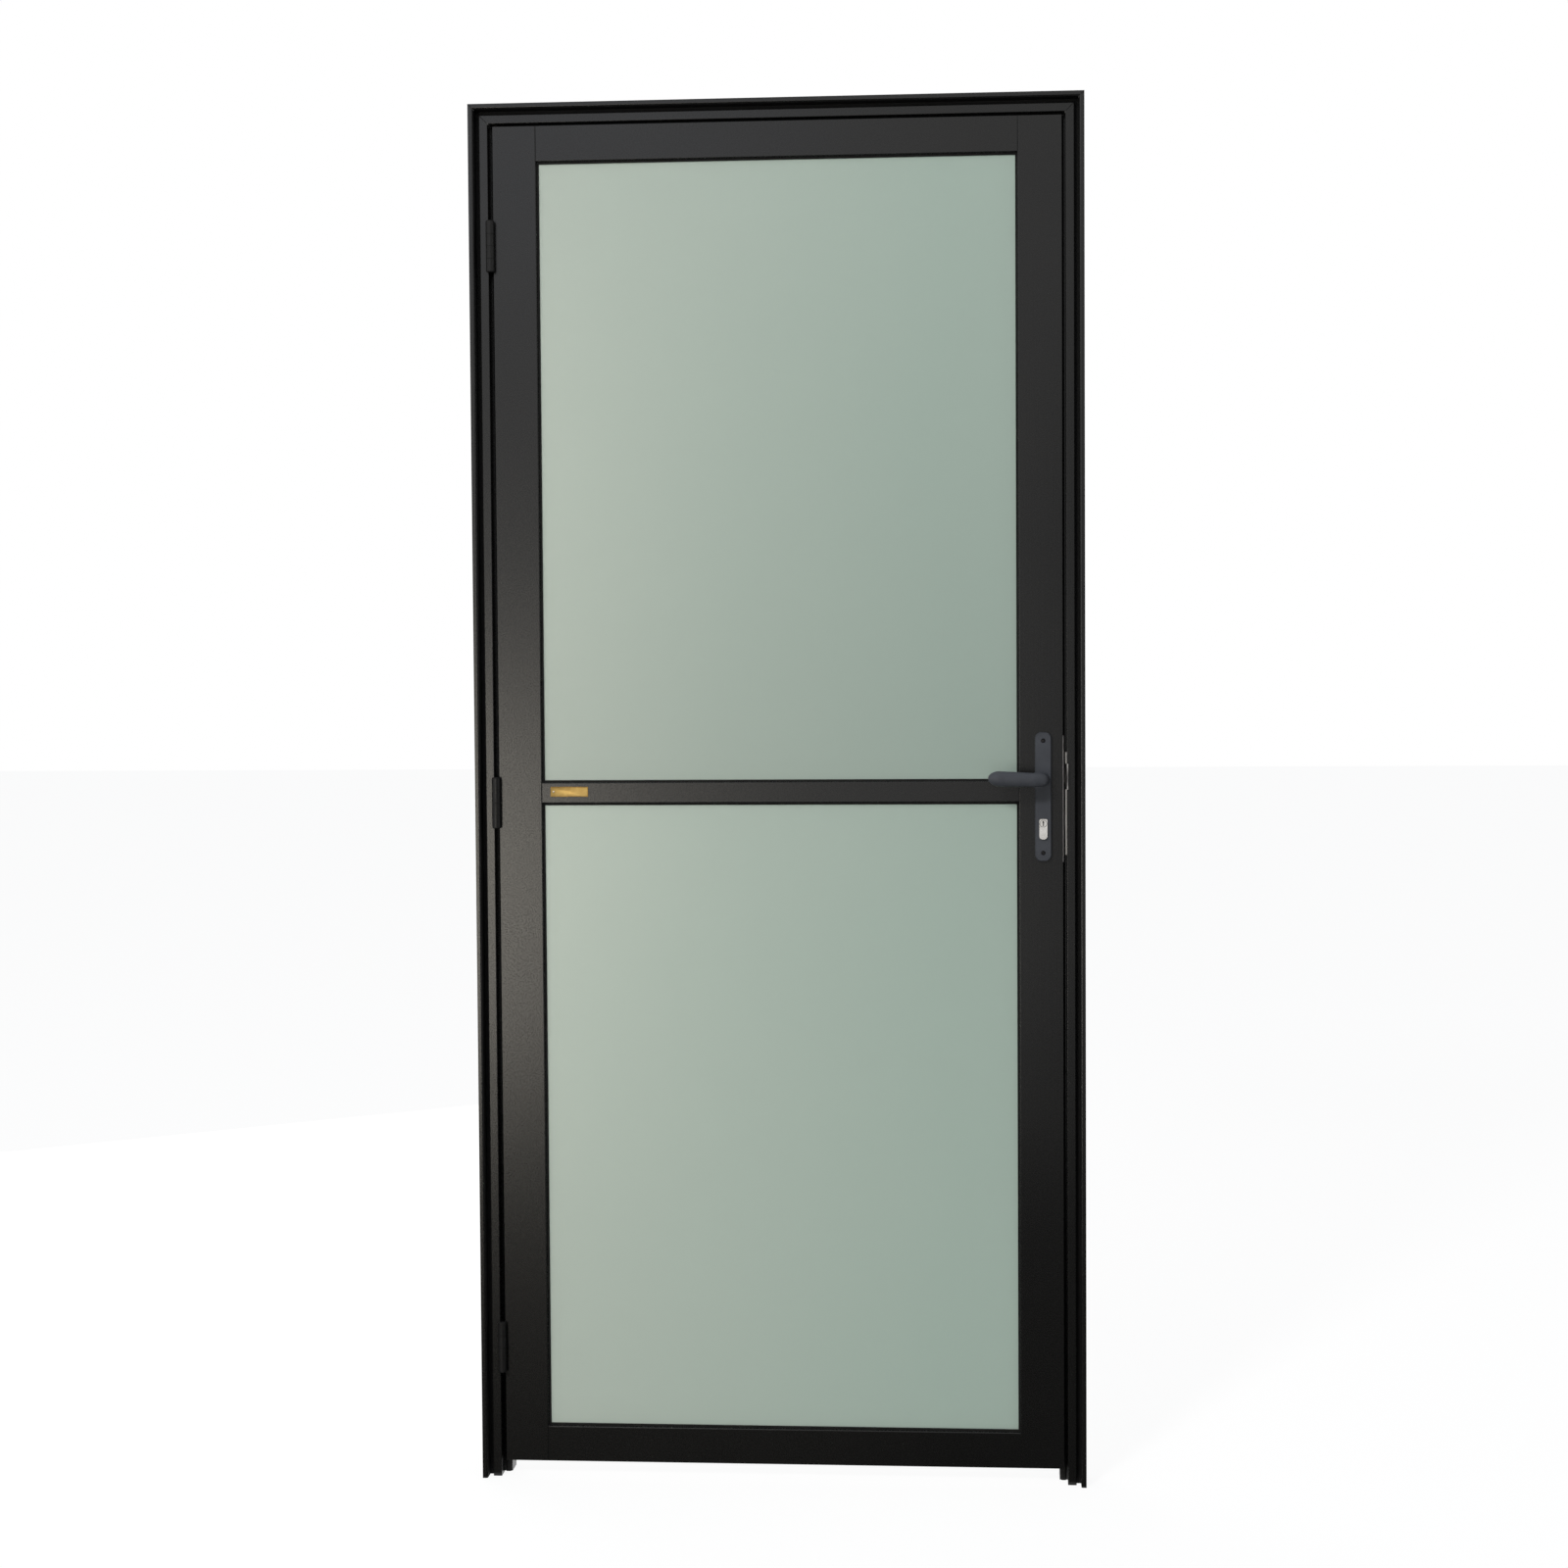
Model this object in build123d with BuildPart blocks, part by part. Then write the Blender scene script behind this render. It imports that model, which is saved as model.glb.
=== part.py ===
from build123d import *
import math
import os

os.makedirs("parts", exist_ok=True)

# A single-leaf aluminium door in its frame, in millimetres.
# X runs from the hinge side to the lock side, Y from the front into the wall, Z up from the floor.
# Y = 0 is the wall face that the frame's flange lies on, X = 0 the middle of the hinge jamb's flange.

# Frame
frame_width = 940.0
frame_height = 2130.0
flange_width = 15.0          # the part of the face that laps over the wall
flange_thickness = 2.0
lip_width = 7.5              # raised edge of the flange
lip_depth = 26.0             # how far the lip stands in front of the wall
lip_round = 2.5
face_width = 28.0            # lip, groove and band together
band_proud = 13.0            # the band's front stands this far in front of the wall
body_depth = 49.0            # how far the frame reaches into the wall
stop_width = 12.0
frame_wall = 1.6
edge_round = 1.0

# Seal in the stop
seal_width = 8.0
seal_edge = 2.0              # from the stop's inner edge
seal_space = 3.0             # between the leaf's back and the stop
seal_clearance = 0.3

# Leaf
leaf_thickness = 25.0
hinge_gap = 8.0
lock_gap = 6.0
head_gap = 5.0
floor_gap = 25.5
stile_width = 66.6
top_rail_height = 54.0
bottom_rail_height = 55.0
mid_rail_height = 32.0
mid_rail_top = 1088.7        # above the floor
leaf_wall = 1.8
rebate_width = 10.0          # glazing rebate behind the lip of each stile and rail
rebate_lip_depth = 5.0
rebate_lip_wall = 2.0
arris_round = 1.5            # rounded edge beside the glass

# Glass, its gaskets and its beads
glass_thickness = 5.0
glass_edge_clearance = 2.0
front_gasket_thickness = 3.0
rear_gasket_thickness = 2.5
gasket_sight = 3.4           # what shows of the gasket beside the lip
gasket_cover = 4.0           # what is hidden behind the lip
gasket_bevel = 0.8
bead_wall = 1.4
bead_round = 2.5

# Screw ports: open channels inside the hollow sections, where long screws join the corners
port_radius = 2.1
port_wall = 1.5
port_mouth = 2.0
port_seat = 3.0              # from the walls beside a port to its middle

# Hinges
hinge_length = 76.0
upper_hinge_drop = 183.0     # from the leaf's top edge to the upper hinge's middle
lower_hinge_rise = 180.3     # from the leaf's bottom edge to the lower hinge's middle
middle_hinge_drop = 2.1      # below halfway between the other two
knuckle_count = 4
knuckle_radius = 6.7
knuckle_clearance = 0.4      # along the pin, between knuckles
pin_radius = 3.0
pin_running_clearance = 0.06
pin_cap_radius = 6.2
pin_cap_height = 1.6
pin_cap_bevel = 1.0
hinge_plate_thickness = 2.5
hinge_plate_depth = 21.0
hinge_plate_start = 1.2      # behind the leaf's front, where the whole plate begins
hinge_screw_radius = 2.1
hinge_screw_margin = 12.0    # from the plate's end to the outer screws

# Lock
backset = 29.9               # from the leaf's lock edge to the handle and keyhole
lever_height = 1092.4        # the other heights of the lock are measured from it
keyhole_drop = 68.4
faceplate_length = 194.3
faceplate_drop = 31.4        # to the middle of the faceplate
faceplate_width = 20.0
faceplate_thickness = 2.4
faceplate_recess = 1.2
faceplate_corner = 1.5
faceplate_screw_margin = 9.5
edge_screw_radius = 2.0      # in the faceplate and the strike
case_height = 150.0
case_depth = 44.0
case_thickness = 15.0
case_side_clearance = 0.5
case_end_clearance = 1.0
slot_end_clearance = 1.0     # behind the latch and the bolt, inside the case
latch_rise = 3.2
latch_size = (12.0, 19.0)    # through the leaf and up
latch_proud = 0.8
latch_length = 22.0
latch_bevel = 11.0
latch_nose = 2.5
bolt_drop = 66.4
bolt_size = (10.0, 27.0)
bolt_length = 22.0
bolt_throw = 14.0
bolt_clearance = 0.4
bolt_corner = 1.2
bolt_end_bevel = 0.6
spindle_size = 8.0
spindle_bevel = 0.4
spindle_hole_radius = 6.2
stile_hole_radius = 8.2      # round the spindle, wider than the lock's own hole
cylinder_width = 12.4
cylinder_height = 31.0
cylinder_head = 7.0          # from the plug's middle up to the top
cylinder_corners = (2.2, 5.2)  # rounding at the top and at the foot
cylinder_proud = 4.0
cylinder_fit = 0.15
cylinder_stile_clearance = 1.0
keyway_width = 2.2
keyway_height = 8.5
keyway_depth = 6.0

# Strike on the lock jamb
strike_length = 158.6
strike_drop = 38.8           # below the lever, to the middle of the strike
strike_width = 21.0
strike_thickness = 2.0
strike_corner = 1.5
strike_screw_margin = 10.0
strike_hole_margin = 1.0
tongue_height = 39.0
tongue_radius = 5.0
tongue_turn = 65.0           # degrees
tongue_clearance = 0.3       # from the band's face
tongue_root = 1.0            # how far the tongue starts inside the plate

# Handles
plate_length = 197.8
plate_width = 25.2
plate_thickness = 8.0
plate_corner = 10.0
plate_bevel = (2.6, 1.4)     # across the plate's face and down its side
plate_drop = 27.6            # below the lever, to the middle of the plate
plate_screw_spacing = 171.6
plate_screw_radius = 2.2
plate_screw_head = 3.4
plate_screw_head_depth = 5.0
neck_radius = 9.0
neck_clearance = 0.35
neck_seat = 3.0              # how deep the neck sits in the plate
grip_standoff = 48.0         # from the leaf's face to the middle of the grip
grip_reach = 84.0            # from the spindle to the tip
grip_height = 23.4
grip_thickness = 16.0
grip_root_height = 21.4
grip_root_thickness = 15.0
grip_rise = 2.4              # how far the tip lies above the spindle
grip_nose = 18.0             # length of the rounded end
grip_nose_turns = (0, 18, 36, 54, 70, 82)  # degrees round its oval, one for each section
bend_radius = 18.0
socket_depth = 18.0          # for the spindle, inside each lever

# Places worked out from the sizes above
frame_left = -flange_width / 2
frame_right = frame_left + frame_width
band_front = -band_proud
stop_front = band_front + leaf_thickness + seal_space
leaf_left = frame_left + face_width + hinge_gap
leaf_right = frame_right - face_width - lock_gap
leaf_top = frame_height - face_width - head_gap
leaf_bottom = floor_gap
leaf_front = band_front
leaf_back = leaf_front + leaf_thickness
leaf_middle = leaf_front + leaf_thickness / 2
leaf_height = leaf_top - leaf_bottom
hinge_axis_x = frame_left + face_width + hinge_gap / 2
hinge_axis_y = leaf_front - knuckle_radius
upper_hinge_centre = leaf_top - upper_hinge_drop
lower_hinge_centre = leaf_bottom + lower_hinge_rise
hinge_centres = {
    "upper": upper_hinge_centre,
    "middle": (upper_hinge_centre + lower_hinge_centre) / 2 - middle_hinge_drop,
    "lower": lower_hinge_centre,
}
spindle_x = leaf_right - backset
keyhole_height = lever_height - keyhole_drop
faceplate_centre = lever_height - faceplate_drop
latch_height = lever_height + latch_rise
bolt_height = lever_height - bolt_drop
strike_centre = lever_height - strike_drop
plate_centre = lever_height - plate_drop
rail_left = leaf_left + stile_width - rebate_width
rail_right = leaf_right - stile_width + rebate_width
rail_length = rail_right - rail_left
sight_left = leaf_left + stile_width
sight_right = leaf_right - stile_width
mid_rail_bottom = mid_rail_top - mid_rail_height
glass_front = leaf_front + rebate_lip_depth + front_gasket_thickness
glass_back = glass_front + glass_thickness
bead_front = glass_back + rear_gasket_thickness
strike_face = frame_right - face_width


def rectangle_between(low, high, mode=Mode.ADD):
    """A rectangle in a sketch from its two corners."""
    with Locations(((low[0] + high[0]) / 2, (low[1] + high[1]) / 2)):
        Rectangle(high[0] - low[0], high[1] - low[1], mode=mode)


def screw_port(x, y, mouth_side):
    """A ring in a section, open towards higher or lower y, that a corner screw cuts its thread in."""
    outside = port_radius + port_wall
    with Locations((x, y)):
        Circle(outside)
        Circle(port_radius, mode=Mode.SUBTRACT)
    with Locations((x, y + mouth_side * outside / 2)):
        Rectangle(port_mouth, outside, mode=Mode.SUBTRACT)


# The frame's section: local x runs from the outer edge towards the opening, local y into the wall
with BuildSketch() as frame_section:
    with BuildLine():
        Polyline(
            (0, -lip_depth),
            (lip_width, -lip_depth),
            (lip_width, -flange_thickness),
            (flange_width, -flange_thickness),
            (flange_width, band_front),
            (face_width, band_front),
            (face_width, stop_front),
            (face_width + stop_width, stop_front),
            (face_width + stop_width, body_depth),
            (flange_width, body_depth),
            (flange_width, 0),
            (0, 0),
            close=True,
        )
    make_face()
    lip_shoulder = frame_section.vertices().sort_by(Axis.Y)[:2].sort_by(Axis.X)[-1]
    fillet(lip_shoulder, lip_round)
    band_corners = [v for v in frame_section.vertices() if abs(v.Y - band_front) < 0.01]
    fillet(band_corners, edge_round)
    body_low = flange_width + frame_wall
    body_high = face_width + stop_width - frame_wall
    body_back = body_depth - frame_wall
    rectangle_between(
        (frame_wall, -lip_depth + frame_wall), (lip_width - frame_wall, -frame_wall), Mode.SUBTRACT
    )
    rectangle_between(
        (body_low, band_front + frame_wall), (face_width - frame_wall, stop_front), Mode.SUBTRACT
    )
    rectangle_between((body_low, stop_front + frame_wall), (body_high, body_back), Mode.SUBTRACT)
    screw_port(body_low + port_seat, body_back - port_seat, -1)
    screw_port(body_high - port_seat, stop_front + frame_wall + port_seat, 1)

hinge_jamb_plane = Plane(origin=(frame_left, 0, 0), x_dir=(1, 0, 0), z_dir=(0, 0, 1))
lock_jamb_plane = Plane(origin=(frame_right, 0, 0), x_dir=(-1, 0, 0), z_dir=(0, 0, -1))
head_plane = Plane(origin=(frame_left, 0, frame_height), x_dir=(0, 0, -1), z_dir=(1, 0, 0))
hinge_mitre = Plane(origin=(frame_left, 0, frame_height), x_dir=(0, 1, 0), z_dir=(1, 0, 1))
lock_mitre = Plane(origin=(frame_right, 0, frame_height), x_dir=(0, 1, 0), z_dir=(-1, 0, 1))

with BuildPart() as hinge_jamb:
    with BuildSketch(hinge_jamb_plane):
        add(frame_section.sketch)
    extrude(amount=frame_height)
    split(bisect_by=hinge_mitre, keep=Keep.BOTTOM)
hinge_jamb.part.label = "hinge_jamb"
export_step(hinge_jamb.part, "parts/hinge_jamb.step")

with BuildPart() as head:
    with BuildSketch(head_plane):
        add(frame_section.sketch)
    extrude(amount=frame_width)
    split(bisect_by=hinge_mitre, keep=Keep.TOP)
    split(bisect_by=lock_mitre, keep=Keep.TOP)
head.part.label = "head"
export_step(head.part, "parts/head.step")

with BuildPart() as lock_jamb:
    with BuildSketch(lock_jamb_plane):
        add(frame_section.sketch)
    extrude(amount=-frame_height)
    split(bisect_by=lock_mitre, keep=Keep.BOTTOM)
    # Mortises behind the strike for the latch and the bolt
    with BuildSketch(Plane(origin=(strike_face, leaf_middle, 0), x_dir=(0, 1, 0), z_dir=(1, 0, 0))):
        for height, size in ((latch_height, latch_size), (bolt_height, bolt_size)):
            with Locations((0, height)):
                Rectangle(size[0] + 2 * strike_hole_margin, size[1] + 2 * strike_hole_margin)
    extrude(amount=2 * frame_wall, both=True, mode=Mode.SUBTRACT)
lock_jamb.part.label = "lock_jamb"
export_step(lock_jamb.part, "parts/lock_jamb.step")

# Soft strips on the stop that the closed leaf comes up to
seal_low = face_width + stop_width - seal_edge - seal_width
with BuildSketch() as seal_section:
    with BuildLine():
        Polyline(
            (seal_low, stop_front),
            (seal_low, stop_front - seal_space / 2),
            (seal_low + seal_width / 4, leaf_back + seal_clearance),
            (seal_low + 3 * seal_width / 4, leaf_back + seal_clearance),
            (seal_low + seal_width, stop_front - seal_space / 2),
            (seal_low + seal_width, stop_front),
            close=True,
        )
    make_face()

seal_top = frame_height - face_width - stop_width + seal_edge
seal_planes = {
    "hinge_jamb_seal": (hinge_jamb_plane, seal_top),
    "lock_jamb_seal": (lock_jamb_plane, -seal_top),
}
for node, (plane, length) in seal_planes.items():
    with BuildPart() as jamb_seal:
        with BuildSketch(plane):
            add(seal_section.sketch)
        extrude(amount=length)
    jamb_seal.part.label = node
    export_step(jamb_seal.part, f"parts/{node}.step")

with BuildPart() as head_seal:
    with BuildSketch(head_plane.offset(seal_low)):
        add(seal_section.sketch)
    extrude(amount=frame_width - 2 * seal_low)
head_seal.part.label = "head_seal"
export_step(head_seal.part, "parts/head_seal.step")


def edge_section(width, has_ports):
    """Section of a stile or outer rail: local x from the leaf's edge, local y from its front."""
    box = width - rebate_width
    with BuildSketch() as section:
        with BuildLine():
            Polyline(
                (0, 0),
                (width, 0),
                (width, rebate_lip_depth),
                (width - rebate_lip_wall, rebate_lip_depth),
                (width - rebate_lip_wall, leaf_wall),
                (box, leaf_wall),
                (box, leaf_thickness),
                (0, leaf_thickness),
                close=True,
            )
        make_face()
        sight_corner = section.vertices().group_by(Axis.Y)[0].sort_by(Axis.X)[-1]
        fillet(sight_corner, arris_round)
        inner_box = (box - leaf_wall, leaf_thickness - leaf_wall)
        rectangle_between((leaf_wall, leaf_wall), inner_box, Mode.SUBTRACT)
        if has_ports:
            for port_x in (leaf_wall + port_seat, inner_box[0] - port_seat):
                screw_port(port_x, inner_box[1] - port_seat, -1)
    return section.sketch


with BuildSketch() as mid_section:
    box_high = mid_rail_height - rebate_width
    inner_low = (rebate_width + leaf_wall, leaf_wall)
    inner_high = (box_high - leaf_wall, leaf_thickness - leaf_wall)
    with BuildLine():
        Polyline(
            (0, 0),
            (mid_rail_height, 0),
            (mid_rail_height, rebate_lip_depth),
            (mid_rail_height - rebate_lip_wall, rebate_lip_depth),
            (mid_rail_height - rebate_lip_wall, leaf_wall),
            (box_high, leaf_wall),
            (box_high, leaf_thickness),
            (rebate_width, leaf_thickness),
            (rebate_width, leaf_wall),
            (rebate_lip_wall, leaf_wall),
            (rebate_lip_wall, rebate_lip_depth),
            (0, rebate_lip_depth),
            close=True,
        )
    make_face()
    fillet(mid_section.vertices().group_by(Axis.Y)[0], arris_round)
    rectangle_between(inner_low, inner_high, Mode.SUBTRACT)
    screw_port((inner_low[0] + inner_high[0]) / 2, inner_high[1] - port_seat, -1)

stile_section = edge_section(stile_width, False)
with BuildPart() as hinge_stile:
    with BuildSketch(Plane(origin=(leaf_left, leaf_front, leaf_bottom), x_dir=(1, 0, 0), z_dir=(0, 0, 1))):
        add(stile_section)
    extrude(amount=leaf_height)
hinge_stile.part.label = "hinge_stile"
export_step(hinge_stile.part, "parts/hinge_stile.step")


def cylinder_outline(grow=0.0):
    """Outline of the lock cylinder: square-shouldered above, rounded at the foot, with the plug's middle at 0."""
    top = cylinder_head + grow
    foot = cylinder_head - cylinder_height - grow
    side = cylinder_width / 2 + grow
    with BuildSketch() as outline:
        rectangle_between((-side, foot), (side, top))
        fillet(outline.vertices().sort_by(Axis.Y)[:2], cylinder_corners[1] + grow)
        fillet(outline.vertices().sort_by(Axis.Y)[-2:], cylinder_corners[0] + grow)
    return outline.sketch


front_view = Plane(origin=(spindle_x, 0, 0), x_dir=(1, 0, 0), z_dir=(0, -1, 0))
side_view = Plane(origin=(leaf_right, leaf_middle, 0), x_dir=(0, 1, 0), z_dir=(1, 0, 0))

with BuildPart() as lock_stile:
    lock_edge = (leaf_right, leaf_front, leaf_bottom)
    with BuildSketch(Plane(origin=lock_edge, x_dir=(-1, 0, 0), z_dir=(0, 0, -1))):
        add(stile_section)
    extrude(amount=-leaf_height)
    # Shallow seat for the lock's faceplate, then the mortise for its case
    with BuildSketch(side_view):
        with Locations((0, faceplate_centre)):
            Rectangle(faceplate_width, faceplate_length)
    extrude(amount=-faceplate_recess, mode=Mode.SUBTRACT)
    with BuildSketch(side_view):
        with Locations((0, faceplate_centre)):
            Rectangle(case_thickness + 2 * case_side_clearance, case_height + 2 * case_end_clearance)
    extrude(amount=-2 * leaf_wall, mode=Mode.SUBTRACT)
    # Holes through both faces for the spindle and the cylinder
    with BuildSketch(front_view):
        with Locations((0, lever_height)):
            Circle(stile_hole_radius)
        with Locations((0, keyhole_height)):
            add(cylinder_outline(cylinder_stile_clearance))
    extrude(amount=2 * leaf_thickness, both=True, mode=Mode.SUBTRACT)
lock_stile.part.label = "lock_stile"
export_step(lock_stile.part, "parts/lock_stile.step")


# Rails run between the stiles, coped at both ends to fit behind the lips of the stiles
rails = {
    "top_rail": (
        Plane(origin=(rail_left, leaf_front, leaf_top), x_dir=(0, 0, -1), z_dir=(1, 0, 0)),
        edge_section(top_rail_height, True),
    ),
    "mid_rail": (
        Plane(origin=(rail_left, leaf_front, mid_rail_top), x_dir=(0, 0, -1), z_dir=(1, 0, 0)),
        mid_section.sketch,
    ),
    "bottom_rail": (
        Plane(origin=(rail_right, leaf_front, leaf_bottom), x_dir=(0, 0, 1), z_dir=(-1, 0, 0)),
        edge_section(bottom_rail_height, True),
    ),
}
for node, (plane, section) in rails.items():
    with BuildPart() as rail:
        with BuildSketch(plane):
            add(section)
        extrude(amount=rail_length)
        with BuildSketch(Plane.XZ.offset(-leaf_front)):
            for low_x, high_x in ((rail_left, sight_left), (sight_right, rail_right)):
                rectangle_between((low_x, leaf_bottom), (high_x, leaf_top))
        extrude(amount=-rebate_lip_depth, mode=Mode.SUBTRACT)
    rail.part.label = node
    export_step(rail.part, f"parts/{node}.step")

# The two panes: the sight opening between lips, and around it what the rebates hold
panes = {
    "upper": (mid_rail_top, leaf_top - top_rail_height),
    "lower": (leaf_bottom + bottom_rail_height, mid_rail_bottom),
}


def sight_rectangle(pane, grow, mode=Mode.ADD):
    """The sight opening of a pane, grown or shrunk all round, in the front view."""
    low, high = panes[pane]
    rectangle_between((sight_left - grow, low - grow), (sight_right + grow, high + grow), mode)


for pane, (pane_low, pane_high) in panes.items():
    with BuildPart() as glass:
        with BuildSketch(Plane.XZ.offset(-glass_front)):
            sight_rectangle(pane, rebate_width - glass_edge_clearance)
        extrude(amount=-glass_thickness)
    glass.part.label = f"{pane}_glass"
    export_step(glass.part, f"parts/{pane}_glass.step")

    with BuildPart() as front_gasket:
        with BuildSketch(Plane.XZ.offset(-glass_front)):
            sight_rectangle(pane, gasket_cover)
            sight_rectangle(pane, -gasket_sight, Mode.SUBTRACT)
        extrude(amount=front_gasket_thickness)
        gasket_face = front_gasket.faces().sort_by(Axis.Y)[0]
        chamfer(gasket_face.inner_wires()[0].edges(), gasket_bevel)
    front_gasket.part.label = f"{pane}_front_gasket"
    export_step(front_gasket.part, f"parts/{pane}_front_gasket.step")

    with BuildPart() as rear_gasket:
        with BuildSketch(Plane.XZ.offset(-glass_back)):
            sight_rectangle(pane, gasket_cover)
            sight_rectangle(pane, -gasket_sight / 2, Mode.SUBTRACT)
        extrude(amount=-rear_gasket_thickness)
    rear_gasket.part.label = f"{pane}_rear_gasket"
    export_step(rear_gasket.part, f"parts/{pane}_rear_gasket.step")

    # Snap-in beads behind the glass, the upright ones between the level ones
    bead_depth = leaf_back - bead_front
    with BuildSketch() as bead_section:
        rectangle_between((0, 0), (rebate_width, bead_depth))
        fillet(bead_section.vertices().sort_by(Axis.Y)[-2:].sort_by(Axis.X)[-1], bead_round)
        rectangle_between(
            (bead_wall, bead_wall), (rebate_width - bead_wall, bead_depth - bead_wall), Mode.SUBTRACT
        )
    across = sight_right - sight_left + 2 * rebate_width
    upright = pane_high - pane_low
    bead_places = {
        "top": ((rail_left, bead_front, pane_high + rebate_width), (0, 0, -1), (1, 0, 0), across),
        "bottom": ((rail_right, bead_front, pane_low - rebate_width), (0, 0, 1), (-1, 0, 0), across),
        "hinge_side": ((rail_left, bead_front, pane_low), (1, 0, 0), (0, 0, 1), upright),
        "lock_side": ((rail_right, bead_front, pane_low), (-1, 0, 0), (0, 0, -1), -upright),
    }
    for side, (corner, inward, along, length) in bead_places.items():
        with BuildPart() as bead:
            with BuildSketch(Plane(origin=corner, x_dir=inward, z_dir=along)):
                add(bead_section.sketch)
            extrude(amount=length)
        bead.part.label = f"{pane}_{side}_bead"
        export_step(bead.part, f"parts/{pane}_{side}_bead.step")

# Hinges: knuckles stand in front of the joint between jamb and leaf, the plates lie in it
knuckle_pitch = hinge_length / knuckle_count
plate_front = leaf_front + hinge_plate_start
plate_back = plate_front + hinge_plate_depth
jamb_edge = frame_left + face_width
screw_depth = plate_front + hinge_plate_depth / 2
screw_pitch = hinge_length / 2 - hinge_screw_margin
hinge_sides = {
    "frame": (jamb_edge, jamb_edge + hinge_plate_thickness, (0, 2), 0.0),
    "leaf": (leaf_left - hinge_plate_thickness, leaf_left, (1, 3), pin_running_clearance),
}
for place, centre in hinge_centres.items():
    bottom = centre - hinge_length / 2
    for side, (low_x, high_x, knuckles, play) in hinge_sides.items():
        with BuildPart() as hinge_plate:
            with BuildSketch(Plane.XY.offset(bottom)):
                rectangle_between((low_x, plate_front), (high_x, plate_back))
            extrude(amount=hinge_length)
            for knuckle in knuckles:
                with BuildSketch(Plane.XY.offset(bottom + knuckle * knuckle_pitch + knuckle_clearance / 2)):
                    with Locations((hinge_axis_x, hinge_axis_y)):
                        Circle(knuckle_radius)
                    rectangle_between((low_x, hinge_axis_y), (high_x, plate_front))
                extrude(amount=knuckle_pitch - knuckle_clearance)
            with BuildSketch(Plane.XY.offset(bottom)):
                with Locations((hinge_axis_x, hinge_axis_y)):
                    Circle(pin_radius + play)
            extrude(amount=hinge_length, mode=Mode.SUBTRACT)
            # Three screws hold each plate
            with BuildSketch(Plane(origin=(low_x, screw_depth, centre), x_dir=(0, 1, 0), z_dir=(1, 0, 0))):
                with GridLocations(0, screw_pitch, 1, 3):
                    Circle(hinge_screw_radius)
            extrude(amount=hinge_plate_thickness, mode=Mode.SUBTRACT)
        hinge_plate.part.label = f"{place}_hinge_{side}_plate"
        export_step(hinge_plate.part, f"parts/{place}_hinge_{side}_plate.step")

    with BuildPart() as hinge_pin:
        with BuildSketch(Plane.XY.offset(bottom)):
            with Locations((hinge_axis_x, hinge_axis_y)):
                Circle(pin_radius)
        extrude(amount=hinge_length)
        for level, direction in ((bottom, -1), (bottom + hinge_length, 1)):
            with BuildSketch(Plane.XY.offset(level)):
                with Locations((hinge_axis_x, hinge_axis_y)):
                    Circle(pin_cap_radius)
            extrude(amount=direction * pin_cap_height)
        pin_ends = hinge_pin.faces().sort_by(Axis.Z)
        chamfer(pin_ends[-1].edges() + pin_ends[0].edges(), pin_cap_bevel)
    hinge_pin.part.label = f"{place}_hinge_pin"
    export_step(hinge_pin.part, f"parts/{place}_hinge_pin.step")

# Mortise lock: faceplate on the leaf's edge and the case behind it
case_front = leaf_right - faceplate_recess
with BuildPart() as mortise_lock:
    with BuildSketch(side_view.offset(-faceplate_recess)):
        with Locations((0, faceplate_centre)):
            RectangleRounded(faceplate_width, faceplate_length, faceplate_corner)
            with GridLocations(0, faceplate_length - 2 * faceplate_screw_margin, 1, 2):
                Circle(edge_screw_radius, mode=Mode.SUBTRACT)
    extrude(amount=faceplate_thickness)
    with BuildSketch(side_view.offset(-faceplate_recess)):
        with Locations((0, faceplate_centre)):
            Rectangle(case_thickness, case_height)
    extrude(amount=-case_depth)
    # Guide slots for the latch and the bolt
    with BuildSketch(side_view.offset(faceplate_thickness)):
        with Locations((0, latch_height)):
            Rectangle(latch_size[0] + 2 * bolt_clearance, latch_size[1] + 2 * bolt_clearance)
    extrude(amount=-(faceplate_thickness + latch_length + slot_end_clearance), mode=Mode.SUBTRACT)
    with BuildSketch(side_view.offset(faceplate_thickness)):
        with Locations((0, bolt_height)):
            Rectangle(bolt_size[0] + 2 * bolt_clearance, bolt_size[1] + 2 * bolt_clearance)
    extrude(amount=-(faceplate_thickness + bolt_length + slot_end_clearance), mode=Mode.SUBTRACT)
    # Follower hole and cylinder hole through the case
    with BuildSketch(front_view):
        with Locations((0, lever_height)):
            Circle(spindle_hole_radius)
        with Locations((0, keyhole_height)):
            add(cylinder_outline(cylinder_fit))
    extrude(amount=2 * leaf_thickness, both=True, mode=Mode.SUBTRACT)
mortise_lock.part.label = "mortise_lock"
export_step(mortise_lock.part, "parts/mortise_lock.step")

with BuildPart() as latch_bolt:
    with BuildSketch(Plane.XY.offset(latch_height - latch_size[1] / 2)):
        nose = case_front + faceplate_thickness + latch_proud
        with BuildLine():
            Polyline(
                (nose - latch_length, leaf_middle - latch_size[0] / 2),
                (nose - latch_bevel, leaf_middle - latch_size[0] / 2),
                (nose, leaf_middle + latch_size[0] / 2 - latch_nose),
                (nose, leaf_middle + latch_size[0] / 2),
                (nose - latch_length, leaf_middle + latch_size[0] / 2),
                close=True,
            )
        make_face()
    extrude(amount=latch_size[1])
latch_bolt.part.label = "latch_bolt"
export_step(latch_bolt.part, "parts/latch_bolt.step")

with BuildPart() as deadbolt:
    with BuildSketch(side_view.offset(faceplate_thickness - faceplate_recess)):
        with Locations((0, bolt_height)):
            RectangleRounded(bolt_size[0], bolt_size[1], bolt_corner)
    extrude(amount=-bolt_length)
    chamfer(deadbolt.faces().sort_by(Axis.X)[-1].edges(), bolt_end_bevel)
deadbolt.part.label = "deadbolt"
export_step(deadbolt.part, "parts/deadbolt.step")

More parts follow.
